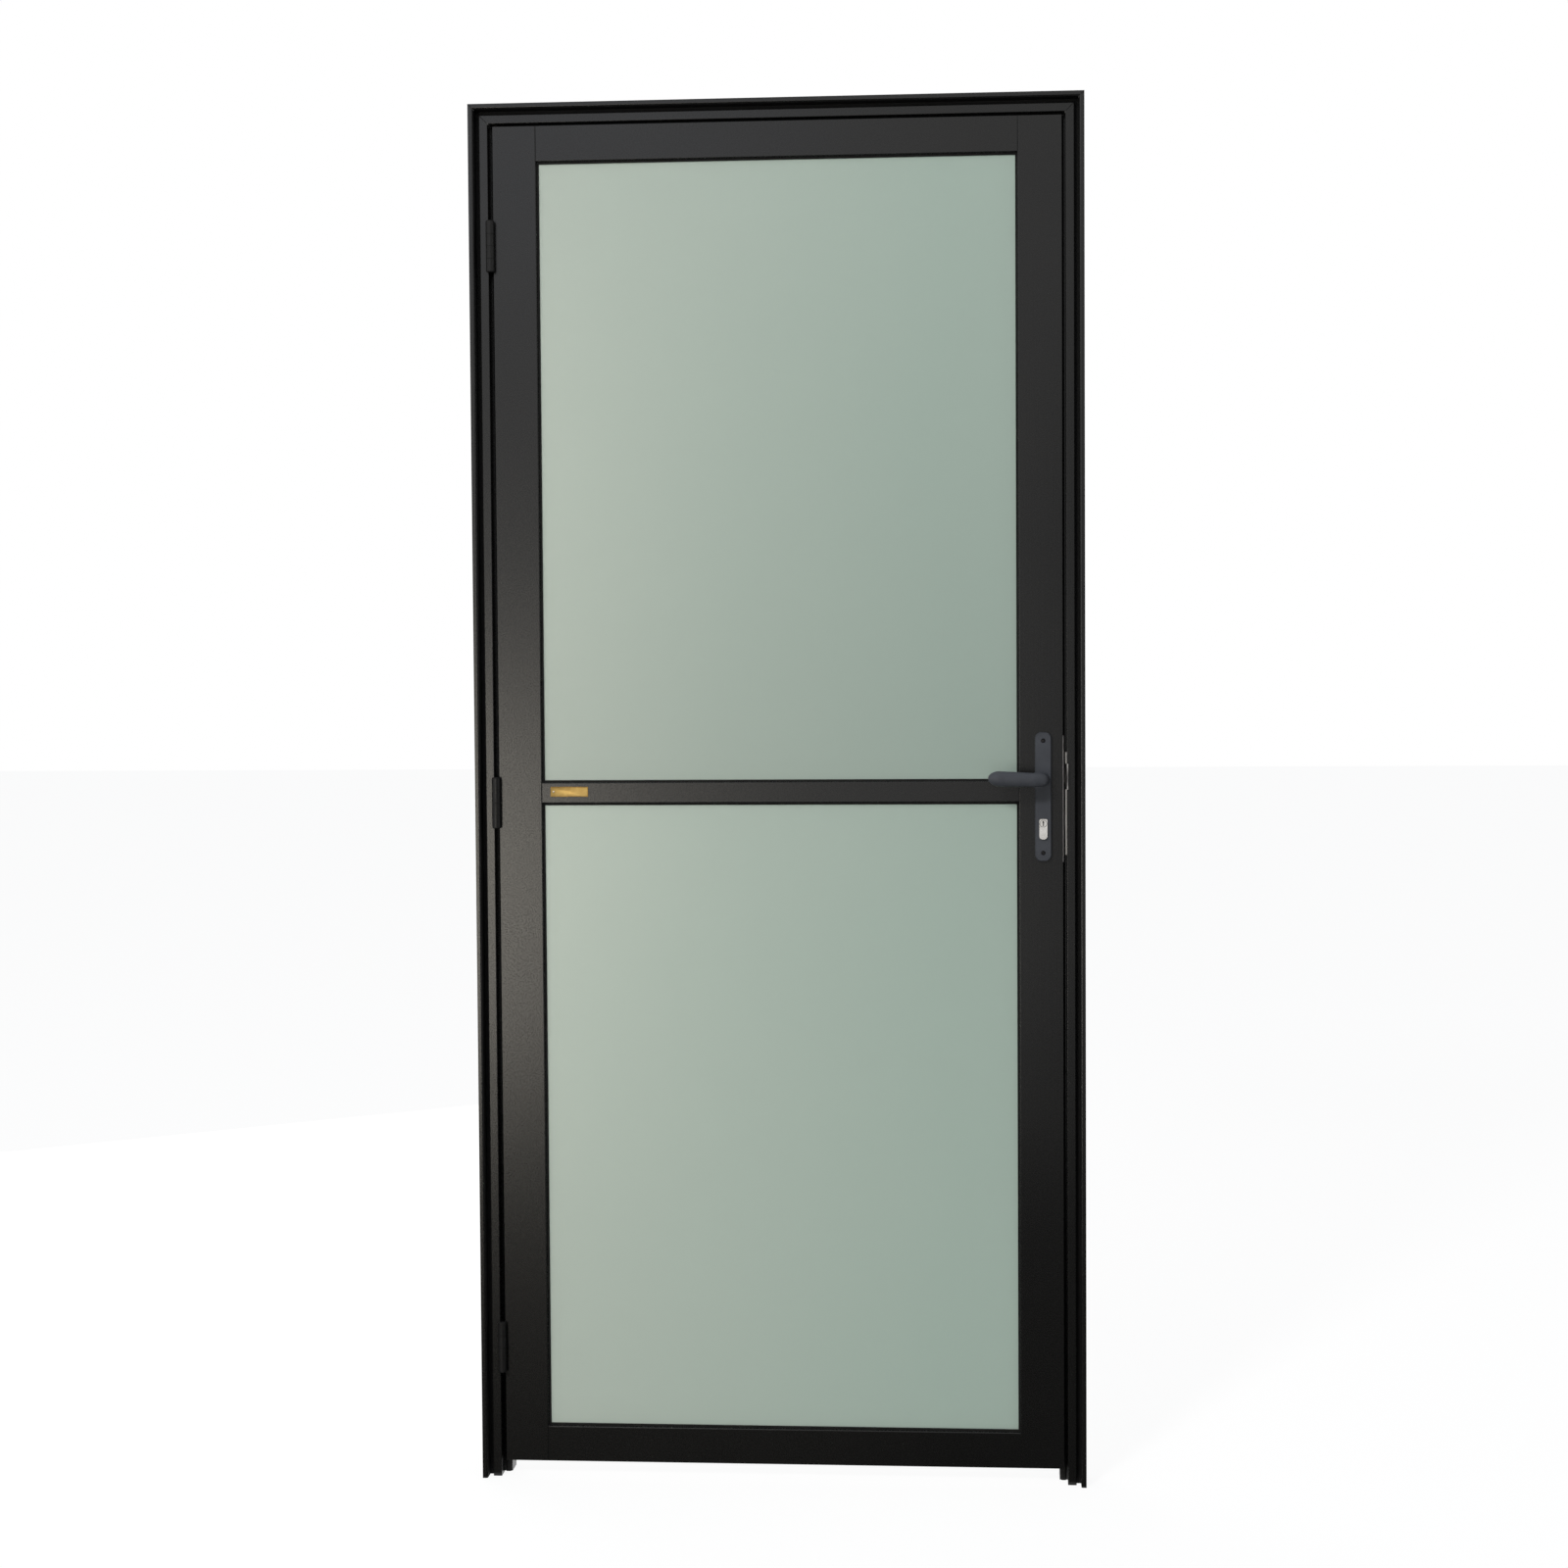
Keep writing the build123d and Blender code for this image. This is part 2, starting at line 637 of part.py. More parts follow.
# Strike plate on the jamb, with a tongue that curls forward for the latch to ride in on
strike_front = leaf_middle - strike_width / 2
with BuildPart() as strike_plate:
    with BuildSketch(Plane(origin=(strike_face, leaf_middle, 0), x_dir=(0, 1, 0), z_dir=(1, 0, 0))):
        with Locations((0, strike_centre)):
            RectangleRounded(strike_width, strike_length, strike_corner)
            with GridLocations(0, strike_length - 2 * strike_screw_margin, 1, 2):
                Circle(edge_screw_radius, mode=Mode.SUBTRACT)
        for height, size in ((latch_height, latch_size), (bolt_height, bolt_size)):
            with Locations((0, height)):
                Rectangle(
                    size[0] + 2 * strike_hole_margin, size[1] + 2 * strike_hole_margin, mode=Mode.SUBTRACT
                )
    extrude(amount=-strike_thickness)
    with BuildSketch(Plane.XY.offset(latch_height - tongue_height / 2)):
        with BuildLine():
            root = strike_front + tongue_root
            bend_start = band_front - tongue_clearance
            centre = (strike_face + tongue_radius, bend_start)
            Line((strike_face, root), (strike_face, bend_start))
            inner = CenterArc(centre, tongue_radius, 180, tongue_turn)
            outer = CenterArc(centre, tongue_radius + strike_thickness, 180, tongue_turn)
            Line(inner @ 1, outer @ 1)
            Line(outer @ 0, (strike_face - strike_thickness, root))
            Line((strike_face - strike_thickness, root), (strike_face, root))
        make_face()
    extrude(amount=tongue_height)
strike_plate.part.label = "strike_plate"
export_step(strike_plate.part, "parts/strike_plate.step")

# Handles: the same plate and lever on both sides of the leaf
plate_face = leaf_front - plate_thickness
with BuildPart() as front_plate:
    with BuildSketch(front_view.offset(-leaf_front)):
        with Locations((0, plate_centre)):
            RectangleRounded(plate_width, plate_length, plate_corner)
    extrude(amount=plate_thickness)
    plate_top = front_plate.faces().sort_by(Axis.Y)[0]
    chamfer(plate_top.edges(), plate_bevel[1], plate_bevel[0], reference=plate_top)
    with BuildSketch(front_view.offset(-leaf_front)):
        with Locations((0, lever_height)):
            Circle(spindle_hole_radius)
        with Locations((0, keyhole_height)):
            add(cylinder_outline(cylinder_fit))
    extrude(amount=plate_thickness, mode=Mode.SUBTRACT)
    with BuildSketch(front_view.offset(-plate_face)):
        with Locations((0, lever_height)):
            Circle(neck_radius + neck_clearance)
    extrude(amount=-(neck_seat + neck_clearance), mode=Mode.SUBTRACT)
    with Locations(front_view.offset(-plate_face)):
        with Locations((0, plate_centre)):
            with GridLocations(0, plate_screw_spacing, 1, 2):
                CounterBoreHole(plate_screw_radius, plate_screw_head, plate_screw_head_depth)
front_plate.part.label = "front_handle_plate"
export_step(front_plate.part, "parts/front_handle_plate.step")

grip_y = leaf_front - grip_standoff
bend_x = spindle_x - bend_radius


def across_leaf(y):
    """Plane square to the spindle at a depth, for the round and square parts on its line."""
    return Plane(origin=(spindle_x, y, lever_height), x_dir=(0, 0, 1), z_dir=(0, 1, 0))


def across_grip(run):
    """Plane square to the grip, at a run from the bend towards the tip."""
    rise = grip_rise * run / (grip_reach - bend_radius)
    return Plane(origin=(bend_x - run, grip_y, lever_height + rise), x_dir=(0, 0, 1), z_dir=(-1, 0, 0))


with BuildPart() as front_lever:
    # Grip: an oval bar that swells and rises towards its rounded end
    with BuildSketch(across_grip(0)):
        Ellipse(grip_root_height / 2, grip_root_thickness / 2)
    with BuildSketch(across_grip(grip_reach - bend_radius - grip_nose)):
        Ellipse(grip_height / 2, grip_thickness / 2)
    loft()
    for turn in grip_nose_turns:
        share = math.cos(math.radians(turn))
        with BuildSketch(across_grip(grip_reach - bend_radius - grip_nose * (1 - math.sin(math.radians(turn))))):
            Ellipse(grip_height / 2 * share, grip_thickness / 2 * share)
    loft()
    # Bend from the grip into the neck
    with BuildLine(Plane.XY.offset(lever_height)):
        CenterArc((bend_x, grip_y + bend_radius), bend_radius, 270, 90)
    with BuildSketch(Plane(origin=(bend_x, grip_y, lever_height), x_dir=(0, 0, 1), z_dir=(1, 0, 0))):
        Ellipse(grip_root_height / 2, grip_root_thickness / 2)
    sweep()
    # Neck: oval at the bend, round where it turns in the plate
    with BuildSketch(across_leaf(grip_y + bend_radius)):
        Ellipse(grip_root_height / 2, grip_root_thickness / 2)
    with BuildSketch(across_leaf(plate_face - neck_seat)):
        Circle(neck_radius)
    loft()
    with BuildSketch(across_leaf(plate_face - neck_seat)):
        Circle(neck_radius)
    extrude(amount=2 * neck_seat)
    with BuildSketch(across_leaf(plate_face + neck_seat)):
        Rectangle(spindle_size, spindle_size)
    extrude(amount=-socket_depth, mode=Mode.SUBTRACT)
front_lever.part.label = "front_lever"
export_step(front_lever.part, "parts/front_lever.step")

leaf_mirror = Plane.XZ.offset(-leaf_middle)
with BuildPart() as rear_plate:
    add(mirror(front_plate.part, about=leaf_mirror, mode=Mode.PRIVATE))
rear_plate.part.label = "rear_handle_plate"
export_step(rear_plate.part, "parts/rear_handle_plate.step")

with BuildPart() as rear_lever:
    add(mirror(front_lever.part, about=leaf_mirror, mode=Mode.PRIVATE))
rear_lever.part.label = "rear_lever"
export_step(rear_lever.part, "parts/rear_lever.step")

spindle_half = leaf_middle - (plate_face + neck_seat) + socket_depth
with BuildPart() as spindle:
    with BuildSketch(across_leaf(leaf_middle)):
        Rectangle(spindle_size, spindle_size)
    extrude(amount=spindle_half, both=True)
    chamfer(spindle.edges().filter_by(Axis.Y), spindle_bevel)
spindle.part.label = "spindle"
export_step(spindle.part, "parts/spindle.step")

cylinder_half = leaf_thickness / 2 + plate_thickness + cylinder_proud
with BuildPart() as lock_cylinder:
    with BuildSketch(front_view.offset(-leaf_middle)):
        with Locations((0, keyhole_height)):
            add(cylinder_outline())
    extrude(amount=cylinder_half, both=True)
    for side in (1, -1):
        with BuildSketch(front_view.offset(side * cylinder_half - leaf_middle)):
            with Locations((0, keyhole_height)):
                Rectangle(keyway_width, keyway_height)
        extrude(amount=keyway_depth, both=True, mode=Mode.SUBTRACT)
lock_cylinder.part.label = "lock_cylinder"
export_step(lock_cylinder.part, "parts/lock_cylinder.step")
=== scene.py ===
import math
import random

import bmesh
import bpy
from mathutils import Matrix, Vector


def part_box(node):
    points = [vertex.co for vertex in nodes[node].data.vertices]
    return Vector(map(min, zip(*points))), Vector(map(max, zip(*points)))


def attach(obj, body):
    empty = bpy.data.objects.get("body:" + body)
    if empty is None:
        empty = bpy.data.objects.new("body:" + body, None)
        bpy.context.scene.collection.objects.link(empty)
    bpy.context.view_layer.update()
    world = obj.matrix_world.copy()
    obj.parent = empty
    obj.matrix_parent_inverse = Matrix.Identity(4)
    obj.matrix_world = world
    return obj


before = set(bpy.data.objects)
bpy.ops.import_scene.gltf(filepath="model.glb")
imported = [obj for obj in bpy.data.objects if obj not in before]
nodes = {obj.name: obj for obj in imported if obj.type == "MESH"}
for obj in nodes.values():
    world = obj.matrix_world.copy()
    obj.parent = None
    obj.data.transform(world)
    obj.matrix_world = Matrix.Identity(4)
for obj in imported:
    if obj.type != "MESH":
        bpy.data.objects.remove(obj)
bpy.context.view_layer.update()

print("frame loaded:", len(nodes), "solids")


# Small helpers for shader nodes

def startMaterial(name):
    mat = bpy.data.materials.new(name)
    mat.use_nodes = True
    tree = mat.node_tree
    shader = tree.nodes["Principled BSDF"]
    coords = tree.nodes.new("ShaderNodeTexCoord").outputs["Object"]
    return mat, tree, shader, coords


def stretched(tree, coords, scale):
    mapping = tree.nodes.new("ShaderNodeMapping")
    mapping.inputs["Scale"].default_value = scale
    tree.links.new(coords, mapping.inputs["Vector"])
    return mapping.outputs["Vector"]


def noise(tree, vector, scale, detail=3.0):
    tex = tree.nodes.new("ShaderNodeTexNoise")
    tex.inputs["Scale"].default_value = scale
    tex.inputs["Detail"].default_value = detail
    tree.links.new(vector, tex.inputs["Vector"])
    return tex.outputs["Fac"]


def between(tree, factor, low, high, fromLow=0.35, fromHigh=0.65):
    # noise mostly lies between 0.35 and 0.65, so that span is stretched to low..high
    span = tree.nodes.new("ShaderNodeMapRange")
    span.inputs["From Min"].default_value = fromLow
    span.inputs["From Max"].default_value = fromHigh
    span.inputs["To Min"].default_value = low
    span.inputs["To Max"].default_value = high
    tree.links.new(factor, span.inputs["Value"])
    return span.outputs["Result"]


def colourRamp(tree, factor, stops):
    ramp = tree.nodes.new("ShaderNodeValToRGB")
    ramp.color_ramp.elements.remove(ramp.color_ramp.elements[0])
    for i, (place, colour) in enumerate(stops):
        stop = ramp.color_ramp.elements[0] if i == 0 else ramp.color_ramp.elements.new(place)
        stop.position = place
        stop.color = (*colour, 1.0)
    tree.links.new(factor, ramp.inputs["Fac"])
    return ramp.outputs["Color"]


def mixColour(tree, factor, first, second, blend="MIX"):
    mix = tree.nodes.new("ShaderNodeMix")
    mix.data_type = "RGBA"
    mix.blend_type = blend
    sockets = (mix.inputs["Factor"], mix.inputs["A"], mix.inputs["B"])
    for socket, value in zip(sockets, (factor, first, second)):
        if isinstance(value, bpy.types.NodeSocket):
            tree.links.new(value, socket)
        elif isinstance(value, tuple):
            socket.default_value = (*value, 1.0)
        else:
            socket.default_value = value
    return mix.outputs["Result"]


def scaledSum(tree, first, scale, second):
    # first times scale, plus second
    node = tree.nodes.new("ShaderNodeMath")
    node.operation = "MULTIPLY_ADD"
    tree.links.new(first, node.inputs[0])
    node.inputs[1].default_value = scale
    tree.links.new(second, node.inputs[2])
    return node.outputs["Value"]


def bump(tree, shader, height, strength, distance):
    node = tree.nodes.new("ShaderNodeBump")
    node.inputs["Strength"].default_value = strength
    node.inputs["Distance"].default_value = distance
    tree.links.new(height, node.inputs["Height"])
    tree.links.new(node.outputs["Normal"], shader.inputs["Normal"])


# Powder-coated aluminium

paintLook = {
    "dark": (0.0048, 0.0048, 0.0047),
    "light": (0.0064, 0.0063, 0.0060),
    "roughness": (0.24, 0.29),
    "specular": 0.34,
    "patchScale": 3.2,
    "lineScale": 420.0,        # fine lines left by the die along each bar
    "lineStretch": 0.02,
    "grainScale": 900.0,
    "grainShare": 0.6,         # of the grain against the lines
    "grainDepth": 0.00012,
    "bump": 0.25,
}


def paintMaterial(name, along):
    mat, tree, shader, coords = startMaterial(name)
    patches = noise(tree, coords, paintLook["patchScale"], 4.0)
    body = colourRamp(tree, patches, ((0.35, paintLook["dark"]), (0.65, paintLook["light"])))
    tree.links.new(body, shader.inputs["Base Color"])
    stretch = tuple(paintLook["lineStretch"] if axis == along else 1.0 for axis in "XYZ")
    lines = noise(tree, stretched(tree, coords, stretch), paintLook["lineScale"], 2.0)
    grain = noise(tree, coords, paintLook["grainScale"], 2.0)
    rough = between(tree, grain, *paintLook["roughness"])
    tree.links.new(rough, shader.inputs["Roughness"])
    shader.inputs["Specular IOR Level"].default_value = paintLook["specular"]
    height = scaledSum(tree, grain, paintLook["grainShare"], lines)
    bump(tree, shader, height, paintLook["bump"], paintLook["grainDepth"])
    return mat


paintUpright = paintMaterial("bronzePaintUpright", "Z")
paintLevel = paintMaterial("bronzePaintLevel", "X")


# Frosted glass, with painted light and shade across and down each pane

glassLook = {
    "tintWithPaintedLight": (0.432, 0.490, 0.436),     # towards the hinge side: the glass tint with painted light
    "tintWithPaintedShade": (0.372, 0.462, 0.408),     # towards the lock: the glass tint with painted shade
    "foot": {"upper": 0.87, "lower": 1.07},   # each pane's foot, against its head: painted shade down the upper pane, painted light down the lower
    "cloudScale": 1.6,
    "cloudShare": 0.3,
    "transmission": 0.42,
    "ior": 1.5,
    "specular": 0.35,
    "roughness": (0.5, 0.6),
    "frostScale": 1400.0,
    "frostDepth": 0.00005,
    "bump": 0.15,
}


def glassMaterial(name, pane):
    low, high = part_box(pane + "_glass")
    mat, tree, shader, coords = startMaterial(name)
    split = tree.nodes.new("ShaderNodeSeparateXYZ")
    tree.links.new(coords, split.inputs[0])
    # painted light and shade: lighter and warmer towards the hinge side, darker towards the lock, stirred by
    # random clouds
    across = between(tree, split.outputs["X"], 0.0, 1.0, low.x, high.x)
    clouds = noise(tree, coords, glassLook["cloudScale"], 2.0)
    cloudsAndPaintedSideLight = scaledSum(tree, clouds, glassLook["cloudShare"], across)
    tint = colourRamp(tree, cloudsAndPaintedSideLight, ((0.15, glassLook["tintWithPaintedLight"]), (1.15, glassLook["tintWithPaintedShade"])))
    # painted shade and light down each pane, towards its foot
    paintedFootShading = between(tree, split.outputs["Z"], glassLook["foot"][pane], 1.0, low.z, high.z)
    shade = tree.nodes.new("ShaderNodeCombineColor")
    for channel in shade.inputs:
        tree.links.new(paintedFootShading, channel)
    colour = mixColour(tree, 1.0, tint, shade.outputs["Color"], "MULTIPLY")
    tree.links.new(colour, shader.inputs["Base Color"])
    shader.inputs["Transmission Weight"].default_value = glassLook["transmission"]
    shader.inputs["IOR"].default_value = glassLook["ior"]
    shader.inputs["Specular IOR Level"].default_value = glassLook["specular"]
    frost = noise(tree, coords, glassLook["frostScale"], 2.0)
    tree.links.new(between(tree, frost, *glassLook["roughness"]), shader.inputs["Roughness"])
    bump(tree, shader, frost, glassLook["bump"], glassLook["frostDepth"])
    return mat


# Rubber and sealant

rubberLook = {
    "roughness": 0.72,
    "specular": 0.25,
    "dustScale": 60.0,
    "grainScale": 1500.0,
    "grainDepth": 0.0001,
    "bump": 0.2,
}


def rubberMaterial(name, dark, dusty):
    mat, tree, shader, coords = startMaterial(name)
    dust = noise(tree, coords, rubberLook["dustScale"], 4.0)
    tree.links.new(colourRamp(tree, dust, ((0.4, dark), (0.75, dusty))), shader.inputs["Base Color"])
    shader.inputs["Roughness"].default_value = rubberLook["roughness"]
    shader.inputs["Specular IOR Level"].default_value = rubberLook["specular"]
    grain = noise(tree, coords, rubberLook["grainScale"], 2.0)
    bump(tree, shader, grain, rubberLook["bump"], rubberLook["grainDepth"])
    return mat


blackRubber = rubberMaterial("blackRubber", (0.004, 0.004, 0.004), (0.009, 0.009, 0.0085))


# Brushed and plated metals

metalLook = {
    "brushScale": 1800.0,
    "brushStretch": 0.03,
    "brushDepth": 0.00005,
    "smudgeScale": 45.0,
    "bump": 0.15,
}


def metalMaterial(name, dark, light, roughness, along="Z", metallic=1.0, specular=0.5):
    mat, tree, shader, coords = startMaterial(name)
    stretch = tuple(metalLook["brushStretch"] if axis == along else 1.0 for axis in "XYZ")
    brushed = noise(tree, stretched(tree, coords, stretch), metalLook["brushScale"], 3.0)
    smudge = noise(tree, coords, metalLook["smudgeScale"], 4.0)
    tree.links.new(colourRamp(tree, brushed, ((0.3, dark), (0.7, light))), shader.inputs["Base Color"])
    shader.inputs["Metallic"].default_value = metallic
    shader.inputs["Specular IOR Level"].default_value = specular
    tree.links.new(between(tree, smudge, *roughness), shader.inputs["Roughness"])
    bump(tree, shader, brushed, metalLook["bump"], metalLook["brushDepth"])
    return mat


boltSteel = metalMaterial("boltSteel", (0.50, 0.48, 0.44), (0.66, 0.63, 0.59), (0.28, 0.4))
# dull steel, made darker than the other steels as painted shade of the gap between leaf and frame
faceplateSteelPaintedShade = metalMaterial("faceplateSteelPaintedShade", (0.30, 0.285, 0.28), (0.42, 0.40, 0.39), (0.35, 0.48))
strikeSteel = metalMaterial("strikeSteel", (0.32, 0.31, 0.295), (0.44, 0.425, 0.405), (0.3, 0.42))
plainSteel = metalMaterial("plainSteel", (0.40, 0.40, 0.41), (0.55, 0.55, 0.55), (0.3, 0.42))
satinNickel = metalMaterial("satinNickel", (0.70, 0.68, 0.64), (0.82, 0.80, 0.77), (0.2, 0.3), "Y")
blackHinge = metalMaterial("blackHinge", (0.006, 0.006, 0.006), (0.011, 0.0108, 0.0105), (0.34, 0.46),
                           metallic=0.0, specular=0.2)


# The handle's graphite coat over a cast surface

handleLook = {
    "dark": (0.040, 0.043, 0.0505),
    "light": (0.049, 0.053, 0.0615),
    "roughness": (0.42, 0.52),
    "specular": 0.2,
    "patchScale": 30.0,
    "castScale": 700.0,
    "castDepth": 0.00012,
    "bump": 0.3,
}


def handleMaterial():
    mat, tree, shader, coords = startMaterial("graphiteCoat")
    patches = noise(tree, coords, handleLook["patchScale"], 4.0)
    coat = colourRamp(tree, patches, ((0.35, handleLook["dark"]), (0.65, handleLook["light"])))
    tree.links.new(coat, shader.inputs["Base Color"])
    grain = noise(tree, coords, handleLook["castScale"], 2.0)
    tree.links.new(between(tree, grain, *handleLook["roughness"]), shader.inputs["Roughness"])
    shader.inputs["Specular IOR Level"].default_value = handleLook["specular"]
    bump(tree, shader, grain, handleLook["bump"], handleLook["castDepth"])
    return mat


graphiteCoat = handleMaterial()


# Which solid gets which finish; the hinges get what is left

finishes = {
    "hinge_jamb": paintUpright, "lock_jamb": paintUpright, "head": paintLevel,
    "hinge_stile": paintUpright, "lock_stile": paintUpright,
    "top_rail": paintLevel, "mid_rail": paintLevel, "bottom_rail": paintLevel,
    "upper_glass": glassMaterial("etchedGlassUpper", "upper"),
    "lower_glass": glassMaterial("etchedGlassLower", "lower"),
    "mortise_lock": faceplateSteelPaintedShade, "latch_bolt": faceplateSteelPaintedShade,
    "deadbolt": boltSteel, "strike_plate": strikeSteel,
    "front_handle_plate": graphiteCoat, "rear_handle_plate": graphiteCoat,
    "front_lever": graphiteCoat, "rear_lever": graphiteCoat,
    "spindle": plainSteel, "lock_cylinder": satinNickel,
}
for name, obj in nodes.items():
    if name in finishes:
        mat = finishes[name]
    elif name.endswith("_bead"):
        mat = paintLevel if ("_top_" in name or "_bottom_" in name) else paintUpright
    elif name.endswith(("_gasket", "_seal")):
        mat = blackRubber
    else:
        mat = blackHinge
    obj.data.materials.clear()
    obj.data.materials.append(mat)
print("materials on the solids")


# Small helpers for building meshes

def addPiece(name, bm, body, material, smoothBelow=35.0):
    mesh = bpy.data.meshes.new(name)
    bmesh.ops.recalc_face_normals(bm, faces=bm.faces)
    bm.to_mesh(mesh)
    bm.free()
    mesh.shade_smooth()
    mesh.set_sharp_from_angle(angle=math.radians(smoothBelow))
    mesh.materials.append(material)
    obj = bpy.data.objects.new(name, mesh)
    bpy.context.scene.collection.objects.link(obj)
    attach(obj, body)
    return obj


def facing(place, outward, turn=0.0):
    # local z points outward from the surface, at place
    rotation = Vector(outward).to_track_quat("Z", "Y").to_matrix().to_4x4()
    return Matrix.Translation(place) @ rotation @ Matrix.Rotation(turn, 4, "Z")


def loopOf(bm, points, matrix=Matrix.Identity(4)):
    return [bm.verts.new(matrix @ Vector(p)) for p in points]


def joinLoops(bm, first, second):
    count = len(first)
    for i in range(count):
        j = (i + 1) % count
        bm.faces.new((first[i], first[j], second[j], second[i]))


def fillBetween(bm, rim, mouth):
    # a flat face between a round rim and the cut-out inside it
    edges = [bm.edges.get((rim[i], rim[(i + 1) % len(rim)])) for i in range(len(rim))]
    edges += [bm.edges.new((mouth[i], mouth[(i + 1) % len(mouth)])) for i in range(len(mouth))]
    bmesh.ops.triangle_fill(bm, use_beauty=True, edges=edges)


def ringPoints(radius, height, steps):
    turns = [2 * math.pi * i / steps for i in range(steps)]
    return [(radius * math.cos(t), radius * math.sin(t), height) for t in turns]


def turnedShape(bm, matrix, profile, steps=40, closeLast=True):
    # profile: radius and height of each ring, from the outside in
    rings = [loopOf(bm, ringPoints(r, h, steps), matrix) for r, h in profile]
    for first, second in zip(rings, rings[1:]):
        joinLoops(bm, first, second)
    if closeLast:
        bm.faces.new(rings[-1])
    return rings


def roundedOutline(width, height, corner, steps=6):
    points = []
    for cx, cy, start in ((1, 1, 0), (-1, 1, 90), (-1, -1, 180), (1, -1, 270)):
        for i in range(steps + 1):
            t = math.radians(start + 90 * i / steps)
            points.append((cx * (width / 2 - corner) + corner * math.cos(t),
                           cy * (height / 2 - corner) + corner * math.sin(t)))
    return points


def plateShape(bm, matrix, width, height, corner, steps):
    # steps: how far each loop is drawn in, and its height
    loops = []
    for inset, level in steps:
        outline = roundedOutline(width - 2 * inset, height - 2 * inset, max(corner - inset, 0.0001))
        loops.append(loopOf(bm, [(x, y, level) for x, y in outline], matrix))
    for first, second in zip(loops, loops[1:]):
        joinLoops(bm, first, second)
    bm.faces.new(loops[-1])


# Places read from the solids

leafLow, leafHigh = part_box("hinge_stile")
leafFront, leafBack = leafLow.y, leafHigh.y
leafMiddle = (leafFront + leafBack) / 2
sightLeft, sightRight = leafHigh.x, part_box("lock_stile")[0].x
frameLow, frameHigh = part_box("hinge_jamb")
frameLeft, frameRight = frameLow.x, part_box("lock_jamb")[1].x
frameFront, frameTop = frameLow.y, frameHigh.z

# The frame's section: how far in from the outer edge each part ends
section = {"lip": 0.0075, "groove": 0.015, "band": 0.028, "grooveFloor": -0.002}


# Screws with a cross recess

def crossOutline(reach, halfWidth):
    w, r = halfWidth, reach
    return [(r, -w), (r, w), (w, w), (w, r), (-w, r), (-w, w),
            (-r, w), (-r, -w), (-w, -w), (-w, -r), (w, -r), (w, -w)]


def crossScrew(bm, matrix, radius, height, dome, recess=0.0013):
    # a low head: rim, rounded shoulder, flat middle with a tapered cross in it
    reach, steps = radius * 0.55, 36
    rings = turnedShape(bm, matrix, (
        (radius * 0.97, -0.0006), (radius, 0.0), (radius, height * 0.55), (radius * 0.96, height * 0.8),
        (radius * 0.86, height), (radius * 0.74, height + dome * 0.6), (radius * 0.66, height + dome),
    ), steps, closeLast=False)
    rim = rings[-1]
    top = height + dome
    mouth = loopOf(bm, [(x, y, top) for x, y in crossOutline(reach, radius * 0.13)], matrix)
    fillBetween(bm, rim, mouth)
    deep = loopOf(bm, [(x, y, top - recess) for x, y in crossOutline(reach * 0.6, radius * 0.09)], matrix)
    joinLoops(bm, mouth, deep)
    bm.faces.new(deep)


handleScrews = {
    "radius": 0.00325, "height": 0.0016, "dome": 0.0004,
    "seat": 0.005,                 # how deep the heads sit in the plate
    "reach": 0.0858,               # above and below the plate's middle
    "turns": (0.35, 1.1, 0.8, 0.1),
}
edgeScrews = {
    "radius": 0.0031, "height": 0.00015, "dome": 0.0003,
    "inset": {"mortise_lock": 0.0095, "strike_plate": 0.010},   # from each end of the plate
    "turns": (0.6, 0.2, 1.2, 0.9),
}
hingeScrews = {
    "radius": 0.0034, "height": 0.0002, "dome": 0.0004,
    "pitch": 0.026,
    "depth": 0.0117,               # behind the leaf's front
    "plate": 0.0025,               # how thick the hinge plates are
    "seed": 7,
}
# near-black heads: dark graphite metal, darkened further as painted shade of the deep holes they sit in
screwGraphitePaintedShade = metalMaterial("screwGraphitePaintedShade", (0.012, 0.012, 0.013), (0.022, 0.022, 0.024), (0.3, 0.42),
                              metallic=0.3)


def driveScrew(bm, matrix, look):
    crossScrew(bm, matrix, look["radius"], look["height"], look["dome"])


def buildHandleScrews():
    turns = list(handleScrews["turns"])
    for side, outward in (("front", -1.0), ("rear", 1.0)):
        low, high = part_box(side + "_handle_plate")
        face = low.y if outward < 0 else high.y
        bm = bmesh.new()
        for reach in (-handleScrews["reach"], handleScrews["reach"]):
            place = ((low.x + high.x) / 2, face - outward * handleScrews["seat"], (low.z + high.z) / 2 + reach)
            driveScrew(bm, facing(place, (0, outward, 0), turns.pop()), handleScrews)
        addPiece(side + "HandleScrews", bm, "leaf", screwGraphitePaintedShade)


def buildEdgeScrews():
    turns = list(edgeScrews["turns"])
    for name, node, body, outward in (("faceplateScrews", "mortise_lock", "leaf", 1.0),
                                      ("strikeScrews", "strike_plate", "frame", -1.0)):
        low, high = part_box(node)
        face = high.x if outward > 0 else low.x
        inset = edgeScrews["inset"][node]
        bm = bmesh.new()
        for level in (low.z + inset, high.z - inset):
            driveScrew(bm, facing((face, leafMiddle, level), (outward, 0, 0), turns.pop()), edgeScrews)
        addPiece(name, bm, body, strikeSteel)


